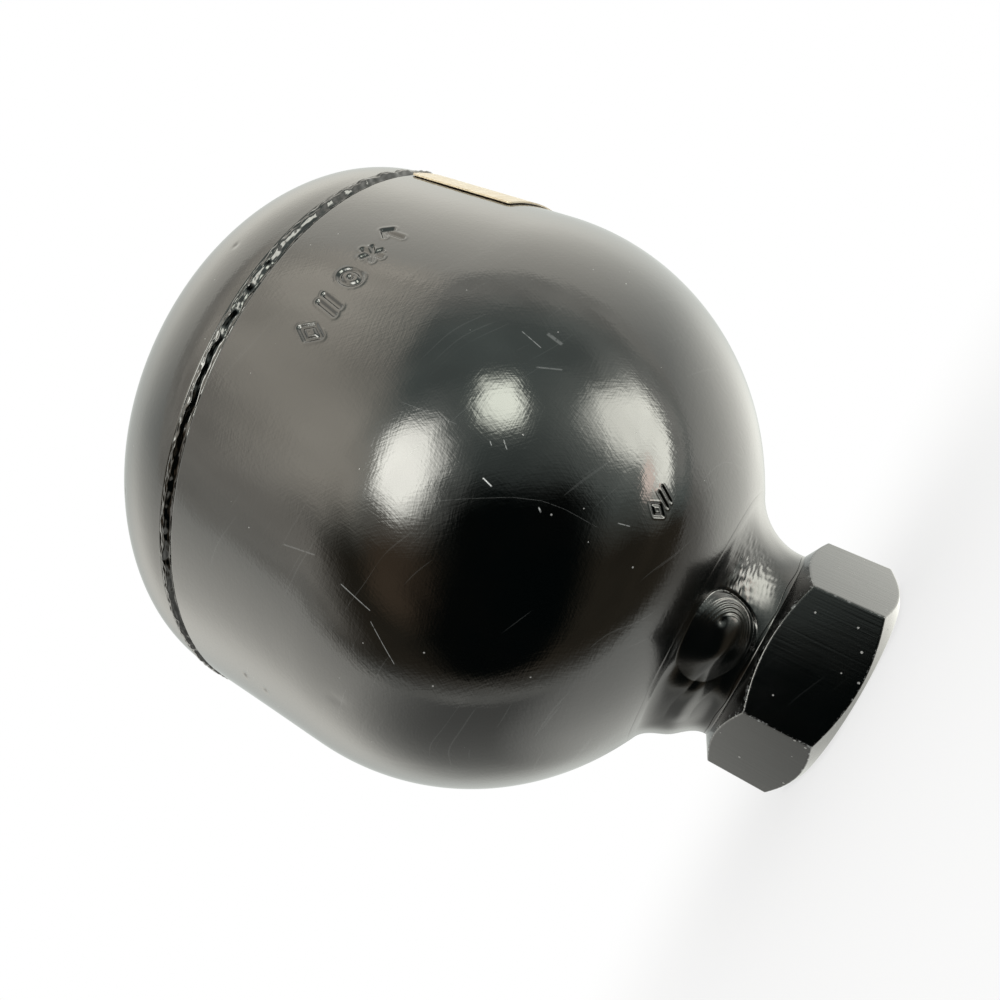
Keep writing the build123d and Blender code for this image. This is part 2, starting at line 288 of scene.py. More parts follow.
def oil_outside():
    """Outside of the oil shell from the port to the waist: r, z, outward normals and the number of
    rows on the dome. Rows lie close together where the marks are."""
    hole = np.degrees(math.asin(PORT_HOLE_R / BODY_R))
    dome = np.radians(np.concatenate([
        np.arange(hole, 41.6, 1.3),
        np.arange(41.9, 48.0, 0.16),
        np.arange(48.6, 90.0, 1.3),
        [90.0],
    ]))
    edge = WAIST_Z - WELD_HALF
    flat = np.concatenate([
        np.linspace(OIL_DOME_Z, 86.4, 5)[1:],
        np.arange(86.7, 90.8, 0.3),
        np.arange(90.9, 98.1, 0.16),
        np.linspace(98.6, 107.4, 6),
        [edge - 0.35, edge - EDGE_BREAK],
    ])
    r = np.concatenate([BODY_R * np.sin(dome), np.full(len(flat), BODY_R)])
    z = np.concatenate([OIL_DOME_Z - OIL_DOME_H * np.cos(dome), flat])
    normal_r, normal_z = np.sin(dome) / BODY_R, -np.cos(dome) / OIL_DOME_H
    size = np.hypot(normal_r, normal_z)
    normal_r = np.concatenate([normal_r / size, np.ones(len(flat))])
    normal_z = np.concatenate([normal_z / size, np.zeros(len(flat))])
    return r, z, normal_r, normal_z, len(dome)


def oil_shell_skin():
    """Oil shell with its marks and knocks, not quite round, and sunk under the port weld's skin."""
    theta = np.radians(stepped((-147.5, 0.4), (-130.0, 1.5), (-84.0, 0.16), (-56.5, 1.5), end=211.8))
    r, z, normal_r, normal_z, dome_rows = oil_outside()
    sink = marks_sink(theta, r, z, dome_rows)
    along = run_along(r, z)
    lumps = 0.035 * wave_noise(theta[None, :], column(along) / 9, seed=5, scale=5)
    fade = column(smooth(along, 6, 20)) * (1 - column(smooth(z, 96, 106)))
    sink += np.clip(lumps * fade + 0.04 * fade, 0, None)
    toe_r = COLLAR_R + PORT_WELD_LEG_SHELL
    sink += 0.1 * (1 - column(smooth(r, toe_r + 0.1, toe_r + 1.0))) * (column(z) < OIL_DOME_Z - 20)
    for knock_angle, knock_z, size, depth in KNOCKS:
        x = np.radians(turn_from(theta[None, :], knock_angle)) * BODY_R
        distance = np.hypot(x / 1.7, column(z) - knock_z)
        sink += depth * np.exp(-(distance / size) ** 2)
    inner_r, inner_z = ellipse_arc(BORE_R, OIL_DOME_H - WALL, OIL_DOME_Z, -1, PORT_HOLE_R, BORE_R, 40)
    joint_r = [BODY_R - EDGE_BREAK, REBATE_R, REBATE_R, REBATE_R, BORE_R, BORE_R]
    joint_z = [WAIST_Z - WELD_HALF, WAIST_Z - ROOT_HALF, WAIST_Z - 4, REBATE_LOW, REBATE_LOW, OIL_DOME_Z + 6]
    one = np.ones((1, len(theta)))
    face = column(r) - sink * column(normal_r), column(z) - sink * column(normal_z)
    back_r = column(np.concatenate([joint_r, inner_r[::-1], [PORT_HOLE_R]])) * one
    back_z = column(np.concatenate([joint_z, inner_z[::-1], [COLLAR_TOP]])) * one
    return closed("oil_shell_skin", face, (back_r, back_z), theta)


def gas_shell_skin():
    """Gas shell with its pits, not quite round."""
    theta = np.radians(stepped((-122, 0.3), (-116, 1.2), (-74, 0.3), (-69, 1.2), end=237))
    outer_r, outer_z = ellipse_arc(BODY_R, GAS_DOME_H, GAS_DOME_Z, 1, BOSS_HOLE_R, BODY_R, 170)
    inner_r, inner_z = ellipse_arc(BORE_R, GAS_DOME_H - WALL, GAS_DOME_Z, 1, BOSS_HOLE_R, BORE_R, 40)
    edge = WAIST_Z + WELD_HALF
    joint_r = [BORE_R, REBATE_R, REBATE_R, BODY_R - EDGE_BREAK, BODY_R, BODY_R, BODY_R]
    joint_z = [REBATE_HIGH, REBATE_HIGH, WAIST_Z + ROOT_HALF, edge, edge + 0.1, edge + 0.4, edge + 0.9]
    r = np.concatenate([joint_r, outer_r[::-1], [BOSS_HOLE_R], inner_r])
    z = np.concatenate([joint_z, outer_z[::-1], [GAS_INNER_Z], inner_z])
    keep = np.concatenate([[True], np.hypot(np.diff(r), np.diff(z)) > 1e-6])
    r, z = r[keep], z[keep]
    outside = np.hypot(r / BODY_R, (z - GAS_DOME_Z) / GAS_DOME_H) > 0.995
    outer = column(z > GAS_DOME_Z + 1) * column(outside)
    lumps = 0.03 * wave_noise(theta[None, :], column(z) / 9, seed=8, scale=5)
    sink = np.clip(lumps + 0.035, 0, None) * outer * column(smooth(z, GAS_DOME_Z + 1, GAS_DOME_Z + 12))
    for pit_angle, pit_z, size, depth in PITS:
        x = np.radians(turn_from(theta[None, :], pit_angle)) * column(r)
        sink += depth * np.exp(-((x ** 2 + (column(z) - pit_z) ** 2 * 1.6) / size ** 2)) * outer
    share = 1 - sink / BODY_R
    z = GAS_DOME_Z + (column(z) - GAS_DOME_Z) * share
    return turned("gas_shell_skin", column(r) * share, z, theta)


# Welds

# Section of the girth weld: share of its width from the oil side, height over the shell
WAIST_SHARE = (0, 0.05, 0.10, 0.36, 0.50, 0.60, 0.78, 0.90, 0.96, 1)
WAIST_RISE = (-0.05, -0.45, -0.55, -0.55, -0.20, 0.26, 0.40, 0.28, 0.02, -0.10)


def waist_bead():
    """Girth weld: sunk beside the oil shell, with an uneven ridge beside the gas shell."""
    cols, rows = 1800, 26
    theta = np.linspace(0, 2 * math.pi, cols, endpoint=False)[None, :]
    t = column(np.linspace(0, 1, rows))
    low = WAIST_Z - WELD_HALF + 0.05 * wave_noise(theta, 1, seed=22, scale=70) + 0.03
    high = WAIST_Z + WELD_HALF + 0.07 * wave_noise(theta, 2, seed=23, scale=60) - 0.04
    z = low + (high - low) * t
    shift = 0.05 * wave_noise(theta, 0, seed=27, scale=45) + 0.03 * wave_noise(theta, 0, seed=28, scale=100)
    along = np.clip(t + shift * np.sin(math.pi * t), 0, 1)
    height = np.interp(along, WAIST_SHARE, WAIST_RISE)
    ridge = smooth(along, 0.4, 0.62) * (1 - smooth(along, 0.86, 0.98))
    height += ridge * 0.10 * wave_noise(theta, 0, seed=25, scale=55)
    height += ridge * 0.07 * wave_noise(theta, t * 3, seed=29, scale=120)
    crease = 0.72 + 0.05 * wave_noise(theta, 0, seed=30, scale=60)
    height -= 0.10 * np.exp(-((along - crease) / 0.035) ** 2)
    height += 0.03 * np.sin(math.pi * t) * wave_noise(theta, t * 5, seed=26, scale=80)
    r = BODY_R + np.minimum(height, WAIST_WELD_CROWN - 0.02)
    root_r = column([REBATE_R, REBATE_R]) + 0 * theta
    root_z = column([WAIST_Z + ROOT_HALF, WAIST_Z - ROOT_HALF]) + 0 * theta
    return closed("waist_bead", (r, z), (root_r, root_z), theta[0])


def angle_bump(theta, centre, before, after, soft):
    """1 between two angles (degrees, before and after the centre), falling off over soft."""
    angle = turn_from(theta, centre)
    return smooth(angle, -before - soft, -before) * (1 - smooth(angle, after, after + soft))


def port_weld_face(theta, t):
    """Plain face of the port weld, from the collar at t 0 to a toe that runs out along the shell at
    t 1: r, z, outward normals, length along the face and the toe's radius."""
    foot_z = COLLAR_TOP - PORT_WELD_LEG_COLLAR + 0.2 * wave_noise(theta, 0, seed=31, scale=9)
    toe_r = COLLAR_R + PORT_WELD_LEG_SHELL + 0.25 * wave_noise(theta, 0, seed=32, scale=8)
    toe_z = on_oil_dome(toe_r)
    slope = OIL_DOME_H * toe_r / BODY_R ** 2 / np.sqrt(1 - (toe_r / BODY_R) ** 2)
    turn_z = toe_z - slope * (toe_r - COLLAR_R)
    r = COLLAR_R + t ** 2 * (toe_r - COLLAR_R)
    z = (1 - t) ** 2 * foot_z + 2 * t * (1 - t) * turn_z + t ** 2 * toe_z
    dr = 2 * t * (toe_r - COLLAR_R)
    dz = 2 * (1 - t) * (turn_z - foot_z) + 2 * t * (toe_z - turn_z)
    size = np.hypot(dr, dz)
    along = np.cumsum(np.hypot(np.diff(r, axis=0, prepend=r[:1]), np.diff(z, axis=0, prepend=z[:1])), axis=0)
    return r, z, dz / size, -dr / size, along, toe_r


# The lump on the port weld: angle, half length round the neck and half width along the face
LUMP_ANGLE, LUMP_HALF_LENGTH, LUMP_HALF_WIDTH = -98, 7.9, 6.3
LUMP_POWER = 2.3
NECK_R = 22.0


def port_lump(x, y, hill):
    """The lump: a long dome with concentric rings at its upper end and a small crater. Returns how
    far it stands out, the dome's share, and the groove round its upper end. x runs round the neck
    and y along the face, both from its middle."""
    p = LUMP_POWER
    rho = (np.abs(x / LUMP_HALF_LENGTH) ** p + np.abs(y / LUMP_HALF_WIDTH) ** p) ** (1 / p)
    dome = np.clip(1 - rho ** p, 0, 1) ** (1.15 - 0.53 * smooth(x, -6.5, 4.0))
    tail = 1 - smooth(x, -8.0, 0.0)
    upper = smooth(x, -1.5, 3.0)
    ring_band = smooth(rho, 0.52, 0.66) * (1 - smooth(rho, 0.96, 1.0))
    rings = np.cos((1 - rho) / 0.085 * 2 * math.pi) * ring_band * upper
    d = np.hypot((x - 3.0) / 1.1, y - 2.4)
    crater = np.exp(-(d / 0.55) ** 2) - 0.15 * np.exp(-((d - 1.2) / 0.5) ** 2)
    lump = (2.0 * hill + 1.5 - 0.4 * tail) * dome + 0.085 * rings - 0.24 * crater
    groove = 0.3 * np.exp(-((rho - 1.045) / 0.035) ** 2) * upper
    return np.where(rho < 1, lump, -np.inf), dome, groove


def port_bead():
    """Fillet weld round the neck: a face that runs out into the shell, with fine ripples, and the
    lump where the run ends."""
    theta = np.radians(stepped((-140, 0.22), (-24, 0.8), end=220))[None, :]
    t = column(np.linspace(0, 1, 84))
    r, z, normal_r, normal_z, along, toe_r = port_weld_face(theta, t)
    x = np.radians(turn_from(theta, LUMP_ANGLE)) * NECK_R
    y = along - along[44:45]
    hill = 4 * t * (1 - t)
    full = angle_bump(theta, -152, 22, 28, 24)
    off = hill ** 2 * (0.3 + 1.6 * full)
    # Ripples left by the arc above the lump, and long soft folds below it
    run = angle_bump(theta, -62, 14, 10, 9)
    streak = wave_noise(theta, y / 0.2, seed=33, scale=24)
    streak += 0.6 * wave_noise(theta, y / 0.3, seed=36, scale=60)
    knot = wave_noise(theta, y / 0.5, seed=34, scale=34)
    middle = smooth(y, -4.5, -1.5) * (1 - smooth(y, 3.5, 6.0))
    off += hill * run * (0.021 * streak + 0.032 * knot * middle)
    off += 0.035 * hill * wave_noise(theta, y / 5, seed=35, scale=14)
    fold = angle_bump(theta, -131, 9, 12, 10)
    bend = 0.4 * wave_noise(theta, 0, seed=37, scale=5)
    off += fold * hill ** 2 * 0.2 * np.abs(np.sin(y * 0.62 + 0.05 * x + bend))
    lump, dome, groove = port_lump(x, y, hill)
    off = np.maximum(off, off * (1 - dome) + lump) - groove
    ends = np.minimum(1, np.minimum(t, 1 - t) / 0.03)
    r = np.maximum(r + off * normal_r * ends, COLLAR_R)
    z = z + off * normal_z * ends
    # Beyond the toe the skin runs on along the shell and then under it, so that no edge shows
    past_toe = [0.3, 0.6, 0.9, 1.2, 1.5, 1.9, -1.5]
    lift = [-0.008, -0.008, -0.006, -0.003, 0.02, 0.2, 1.5, 0.4]
    back_r = np.concatenate([column(past_toe) + toe_r, 0 * toe_r + COLLAR_R])
    back_z = on_oil_dome(back_r) + column(lift)
    return closed("port_bead", (r, z), (back_r, back_z), theta[0])


def boss_bead():
    """Fillet weld round the gas boss, with even ripples. Its leg on the collar is a little shorter
    than the part's, so that it stays inside the solid."""
    ripples = 58
    theta = np.radians(np.arange(0, 360, 0.5))[None, :]
    t = column(np.linspace(0, 1, 16))
    toe_r = BOSS_COLLAR_R + BOSS_WELD_LEG_SHELL + 0.12 * wave_noise(theta, 0, seed=41, scale=9) + 0 * t
    toe_z = on_gas_dome(toe_r)
    head_z = on_gas_dome(BOSS_COLLAR_R) + BOSS_WELD_LEG_COLLAR - 0.05
    head_z = head_z + 0.08 * wave_noise(theta, 0, seed=42, scale=8)
    dr, dz = BOSS_COLLAR_R - toe_r, head_z - toe_z
    length = np.hypot(dr, dz)
    r, z = toe_r + dr * t, toe_z + dz * t
    phase = ripples * theta / (2 * math.pi) + 0.9 * (2 * t - 1) ** 2
    phase = phase + 0.2 * wave_noise(theta, t * 3, seed=43, scale=16)
    lip = np.minimum((phase % 1) / 0.75, (1 - phase % 1) / 0.25)
    off = np.sin(math.pi * t) * (0.3 + 0.12 * lip)
    r, z = r + off * dz / length, z - off * dr / length
    back_r = column([BOSS_COLLAR_R, BOSS_COLLAR_R + 2]) + 0 * theta
    back_z = on_gas_dome(back_r) - 0.02
    return closed("boss_bead", (r, z), (back_r, back_z), theta[0])


# Turned and milled pieces

def thread_wave(z, theta, pitch, start, end):
    """Rounded thread form from 0 at the crest to 1 at the root, fading out at both ends."""
    phase = (z / pitch - theta / (2 * math.pi)) % 1.0
    form = smooth(1 - np.abs(2 * phase - 1), 0.08, 0.92)
    return form * smooth(z, start, start + pitch * 0.8) * (1 - smooth(z, end - pitch * 0.8, end))


def hex_radius(theta):
    """Radius of the hexagon at each angle, its six upright edges slightly rounded."""
    half, corner = HEX_AF / 2, 0.45
    from_flat = (np.degrees(theta) % 60) - 30
    flat = half / np.cos(np.radians(from_flat))
    delta = np.radians(30 - np.abs(from_flat))
    centre = (half - corner) / math.cos(math.pi / 6)
    inside = np.clip(corner ** 2 - (centre * np.sin(delta)) ** 2, 0, None)
    turn = centre * np.cos(delta) + np.sqrt(inside)
    tangent = math.pi / 6 - math.atan((half - corner) * math.tan(math.pi / 6) / half)
    return np.where(delta < tangent, np.minimum(turn, flat), flat)


def chamfer_rise(radius):
    """Height of the turned cone at a radius of the hexagon."""
    return (radius - COLLAR_R) * math.tan(math.radians(HEX_CHAMFER_ANGLE))


def fitting_angles():
    """Columns of the hexagon: close together round its six upright edges, in radians."""
    beside = [0.12, 0.25, 0.38, 0.5, 0.62, 0.9, 1.6]
    one = [0] + beside + list(np.arange(4, 57, 2.9)) + [60 - angle for angle in beside[::-1]]
    return np.radians(np.sort(np.concatenate([np.array(one) + 60 * k for k in range(6)])))


def port_fitting_turned():
    """Hexagon with turned chamfers, collar, spigot and the bore with its thread."""
    theta = fitting_angles()
    mouth_r = THREAD_R + THREAD_MOUTH
    thread_end = THREAD_MOUTH + THREAD_LEN
    cone_end = thread_end + (THREAD_R - OIL_BORE_R) / math.tan(math.radians(DRILL_ANGLE))
    recess = SEAT_TOP - SEAT_RECESS_H
    thread_rows = np.arange(thread_end - 0.2, 1.5, -0.18)
    columns_r, columns_z = [], []
    for big in hex_radius(theta):
        rise = chamfer_rise(big)
        corners = [
            (COLLAR_R, 0, 0.3), (big, rise, 0.3), (big, rise + 0.9, 0), (big, HEX_H / 2, 0),
            (big, HEX_H - rise - 0.9, 0), (big, HEX_H - rise, 0.3), (COLLAR_R, HEX_H, 0.25),
            (COLLAR_R, COLLAR_TOP, 0.1), (SPIGOT_R, COLLAR_TOP, 0.1), (SPIGOT_R, SEAT_TOP, 0.2),
            (SEAT_RECESS_R, SEAT_TOP, 0.15), (SEAT_RECESS_R, recess, 0.15),
            (OIL_BORE_R + SEAT_CHAMFER, recess, 0.1), (OIL_BORE_R, recess - SEAT_CHAMFER, 0.1),
            (OIL_BORE_R, cone_end, 0.3), (THREAD_R, thread_end, 0.1),
        ]
        corners += [(THREAD_R, row, 0) for row in thread_rows]
        corners += [(THREAD_R, THREAD_MOUTH, 0.1), (mouth_r, THREAD_MOUTH_FLAT, 0.1), (mouth_r, 0, 0.1)]
        profile = rounded(corners)
        columns_r.append(profile[:, 0])
        columns_z.append(profile[:, 1])
    r, z = np.array(columns_r).T, np.array(columns_z).T
    threaded = (np.abs(r - THREAD_R) < 1e-6) & (z < thread_end - 0.05) & (z > THREAD_MOUTH)
    wave = thread_wave(z, theta, THREAD_PITCH, THREAD_MOUTH, thread_end - 0.1)
    return turned("port_fitting_turned", r + threaded * THREAD_DEPTH * wave, z, theta)


def gas_boss_turned():
    """Boss with its collar, relief groove, outside thread, well, screw hole and gas passage."""
    theta = np.radians(np.arange(0, 360, 2.0))
    collar_end = BOSS_Z + BOSS_COLLAR_H
    relief_end = collar_end + RELIEF_H
    thread_end = BOSS_TOP - BOSS_CHAMFER
    bottom = GAS_INNER_Z - BOSS_SPIGOT_PAST
    hole_r, hole_end = SCREW_R + SCREW_GAP, SCREW_HEAD_Z - SCREW_LEN - SCREW_END_ROOM
    corners = [
        (GAS_PASSAGE_R, bottom, 0.05), (BOSS_SPIGOT_R, bottom, 0.2), (BOSS_SPIGOT_R, BOSS_Z, 0.05),
        (BOSS_COLLAR_R, BOSS_Z, 0.05), (BOSS_COLLAR_R, collar_end, 0.4), (RELIEF_R, collar_end, 0.3),
        (RELIEF_R, relief_end, 0.3), (BOSS_THREAD_R, relief_end, 0.1),
    ]
    corners += [(BOSS_THREAD_R, row, 0) for row in np.arange(relief_end + 0.3, thread_end, 0.15)]
    corners += [
        (BOSS_THREAD_R, thread_end, 0.15), (BOSS_THREAD_R - BOSS_CHAMFER, BOSS_TOP, 0.15),
        (WELL_R, BOSS_TOP, 0.25), (WELL_R, WELL_Z, 0.15), (hole_r, WELL_Z, 0.1),
        (hole_r, hole_end, 0.1), (GAS_PASSAGE_R, hole_end, 0.05),
    ]
    r, z = np.hsplit(rounded(corners), 2)
    threaded = (np.abs(r - BOSS_THREAD_R) < 1e-6) & (z > relief_end + 0.1) & (z < thread_end + 0.1)
    wave = thread_wave(z, theta, BOSS_THREAD_PITCH, relief_end, thread_end + 0.4)
    return turned("gas_boss_turned", r - threaded * BOSS_THREAD_DEPTH * wave, z, theta)


def diaphragm_bowl():
    """Moulded rubber bowl with its rim bead and the thicker pad that grips the button."""
    theta = np.radians(np.arange(0, 360, 1.5))
    out_r, out_h = BORE_R - RUBBER_GAP, OIL_DOME_H - WALL - RUBBER_GAP
    in_r, in_h = out_r - RUBBER, out_h - RUBBER
    flat = SEAT_TOP + BUTTON_GAP
    inner_flat = flat + RUBBER
    turn_r = out_r * math.sqrt(1 - ((OIL_DOME_Z - flat) / out_h) ** 2)
    inner_turn_r = in_r * math.sqrt(1 - ((OIL_DOME_Z - inner_flat) / in_h) ** 2)
    outside = np.transpose(ellipse_arc(out_r, out_h, OIL_DOME_Z, -1, turn_r, out_r, 44))
    inside = np.transpose(ellipse_arc(in_r, in_h, OIL_DOME_Z, -1, inner_turn_r, in_r, 44))
    bead_r, bead_inner_r, bead_top = REBATE_R - HOLE_GAP, REBATE_R - BEAD_W - RUBBER_GAP, REBATE_LOW + BEAD_H
    hole_r = BUTTON_STEM_R + HOLE_GAP
    corners = [(hole_r, flat, 0.05)]
    corners += [(*point, 0) for point in outside]
    corners += [
        (out_r, REBATE_LOW - 2.5, 0), (out_r, REBATE_LOW, 0.2), (bead_r, REBATE_LOW, 0.9),
        (bead_r, bead_top, 0.9), (bead_inner_r, bead_top, 0.9), (bead_inner_r, REBATE_LOW + 1.2, 0.6),
        (in_r, REBATE_LOW - 0.6, 0.8), (in_r, OIL_DOME_Z + 6, 0),
    ]
    corners += [(*point, 0) for point in inside[::-1]]
    corners += [(14.5, inner_flat, 0.8), (PAD_R, flat + PAD_H, 0.5), (hole_r, flat + PAD_H, 0.2)]
    r, z = np.hsplit(rounded(corners, steps=5), 2)
    return turned("diaphragm_bowl", r, z, theta)


# Materials

class Nodes:
    """Short names for the nodes that the materials share."""

    def __init__(self, tree):
        self.tree = tree

    def new(self, kind, **settings):
        node = self.tree.nodes.new(kind)
        for key, value in settings.items():
            setattr(node, key, value)
        return node

    def link(self, a, b):
        self.tree.links.new(a, b)

    def put(self, socket, value):
        if isinstance(value, bpy.types.NodeSocket):
            self.link(value, socket)
        else:
            socket.default_value = value

    def math(self, operation, a, b=0.0):
        node = self.new("ShaderNodeMath", operation=operation)
        self.put(node.inputs[0], a)
        self.put(node.inputs[1], b)
        return node.outputs[0]

    def times(self, a, b):
        return self.math("MULTIPLY", a, b)

    def plus(self, a, b):
        return self.math("ADD", a, b)

    def minus(self, a, b):
        return self.math("SUBTRACT", a, b)

    def larger(self, a, b):
        return self.math("MAXIMUM", a, b)

    def step(self, value, low, high, to_low=0.0, to_high=1.0):
        node = self.new("ShaderNodeMapRange", interpolation_type="SMOOTHSTEP")
        self.put(node.inputs[0], value)
        for i, number in enumerate((low, high, to_low, to_high)):
            node.inputs[i + 1].default_value = number
        return node.outputs[0]

    def mix(self, factor, a, b):
        node = self.new("ShaderNodeMix", data_type="RGBA")
        self.put(node.inputs[0], factor)
        self.put(node.inputs[6], a)
        self.put(node.inputs[7], b)
        return node.outputs[2]

    def separate(self, coords):
        node = self.new("ShaderNodeSeparateXYZ")
        self.link(coords, node.inputs[0])
        return node.outputs

    def spot(self, coords, scale, turn=(0, 0, 0)):
        """Turned first and then scaled, so that a stretched pattern can lie at any angle."""
        node = self.new("ShaderNodeMapping", vector_type="TEXTURE")
        self.link(coords, node.inputs[0])
        node.inputs[2].default_value = turn
        node.inputs[3].default_value = [1 / s for s in scale]
        return node.outputs[0]

    def vector(self, operation, a, b=(0, 0, 0), factor=None):
        node = self.new("ShaderNodeVectorMath", operation=operation)
        self.put(node.inputs[0], a)
        self.put(node.inputs[1], b)
        if factor is not None:
            node.inputs["Scale"].default_value = factor
        return node

    def dot(self, a, b):
        return self.vector("DOT_PRODUCT", a, b).outputs["Value"]

    def clouds(self, coords, scale, detail, rough=0.5):
        node = self.new("ShaderNodeTexNoise")
        self.link(coords, node.inputs["Vector"])
        node.inputs["Scale"].default_value = scale
        node.inputs["Detail"].default_value = detail
        node.inputs["Roughness"].default_value = rough
        return node.outputs

    def noise(self, coords, scale, detail, rough=0.5):
        return self.clouds(coords, scale, detail, rough)[0]

    def waver(self, coords, scale, reach):
        """Coordinates pushed about by soft noise, so that lines bend."""
        push = self.vector("SCALE", self.clouds(coords, scale, 1.0)["Color"], factor=reach)
        return self.vector("ADD", coords, push.outputs[0]).outputs[0]

    def bump(self, height, depth, after=None):
        node = self.new("ShaderNodeBump")
        node.inputs["Strength"].default_value = 1.0
        node.inputs["Distance"].default_value = depth
        self.link(height, node.inputs["Height"])
        if after is not None:
            self.link(after, node.inputs["Normal"])
        return node.outputs[0]


def material(name):
    """New material: itself, its nodes, its shader and the object's coordinates in metres."""
    mat = bpy.data.materials.new(name)
    mat.use_nodes = True
    n = Nodes(mat.node_tree)
    shader = next(x for x in mat.node_tree.nodes if x.type == "BSDF_PRINCIPLED")
    coords = n.new("ShaderNodeTexCoord").outputs["Object"]
    return mat, n, shader, coords


def set_surface(n, shader, colour, rough, skin, metallic=0.0):
    n.link(colour, shader.inputs["Base Color"])
    n.link(rough, shader.inputs["Roughness"])
    n.link(skin, shader.inputs["Normal"])
    shader.inputs["Metallic"].default_value = metallic


def dust(n, coords, scale, size, share):
    """Sparse round specks: 1 on a speck."""
    cell = n.new("ShaderNodeTexVoronoi")
    n.link(coords, cell.inputs["Vector"])
    cell.inputs["Scale"].default_value = scale
    parts = n.new("ShaderNodeSeparateColor")
    n.link(cell.outputs["Color"], parts.inputs[0])
    speck = n.step(cell.outputs["Distance"], size, size * 0.6)
    return n.times(speck, n.math("LESS_THAN", parts.outputs[0], share))


def stroke(n, coords, start, end, half_width):
    """1 on a straight scratch between two points (x, z in mm) of the side that faces -Y."""
    dx, dz = end[0] - start[0], end[1] - start[1]
    length = math.hypot(dx, dz)
    dx, dz = dx / length, dz / length
    along = n.dot(coords, (MM_A_METRE * dx, 0, MM_A_METRE * dz))
    across = n.dot(coords, (-MM_A_METRE * dz, 0, MM_A_METRE * dx))
    side = n.math("ABSOLUTE", n.minus(across, start[1] * dx - start[0] * dz))
    middle = start[0] * dx + start[1] * dz + length / 2
    reach = n.math("ABSOLUTE", n.minus(along, middle))
    return n.times(n.step(side, half_width, half_width * 0.4),
                   n.step(reach, length / 2 + 0.1, length / 2 - 0.15))


# Scratches that stand out on the oil shell: from x, z to x, z in mm, half width, strength
SCRATCHES = [
    ((-22, 72.5), (-23.5, 67), 0.10, 0.35),
    ((-25, 66.5), (-29.5, 61.5), 0.09, 0.3),
    ((1, 59.5), (0.5, 58), 0.13, 0.9),
    ((-21, 84), (-20, 78), 0.16, 0.12),
    ((22.5, 65.5), (21.5, 62), 0.09, 0.35),
    ((24, 62.5), (23.5, 60), 0.35, 0.16),
    ((18.5, 61), (20, 58), 0.16, 0.16),
    ((6, 61), (5.5, 60.5), 0.09, 0.4),
    ((7, 59.5), (6, 58.5), 0.09, 0.4),
    ((4.5, 42), (5, 40.5), 0.10, 0.35),
    ((5.5, 74.5), (6, 66), 0.07, 0.1),
    ((1, 51.5), (0.5, 51), 0.14, 0.6),
]
# A long faint one that bends, as the points it passes
BENT_SCRATCH = [(-5, 64), (-2.5, 60), (0.5, 55), (2, 51.5), (2.5, 48.5), (2.5, 44)]
SCRATCHES += [(start, end, 0.06, 0.065) for start, end in zip(BENT_SCRATCH[:-1], BENT_SCRATCH[1:])]

COOL_BLACK, WARM_BLACK = (0.0008, 0.0015, 0.0015, 1), (0.0016, 0.0018, 0.0016, 1)
SCRATCH_GREY, DUST_GREY, RUBBED_GREY = (0.60, 0.62, 0.60, 1), (0.42, 0.42, 0.40, 1), (0.30, 0.31, 0.30, 1)
# Depths of relief in metres
PEEL_DEPTH, SWIRL_DEPTH, BRUSH_DEPTH = 0.00004, 0.0000085, 0.000019
# The spray lies drier round the neck: heights in metres where that starts and where it is full
DRY_FROM, DRY_FULL = 0.038, 0.029


def drawn_strokes(n, coords, strokes):
    """The strokes with their strengths, broken up, on the side that faces -Y alone."""
    broken = n.step(n.noise(coords, 1500, 2), 0.35, 0.5, 0.35, 1.0)
    broken = n.times(broken, n.math("LESS_THAN", n.separate(coords)[1], 0.0))
    drawn = 0.0
    for start, end, half_width, strength in strokes:
        drawn = n.larger(drawn, n.times(stroke(n, coords, start, end, half_width), strength))
    return n.times(drawn, broken)


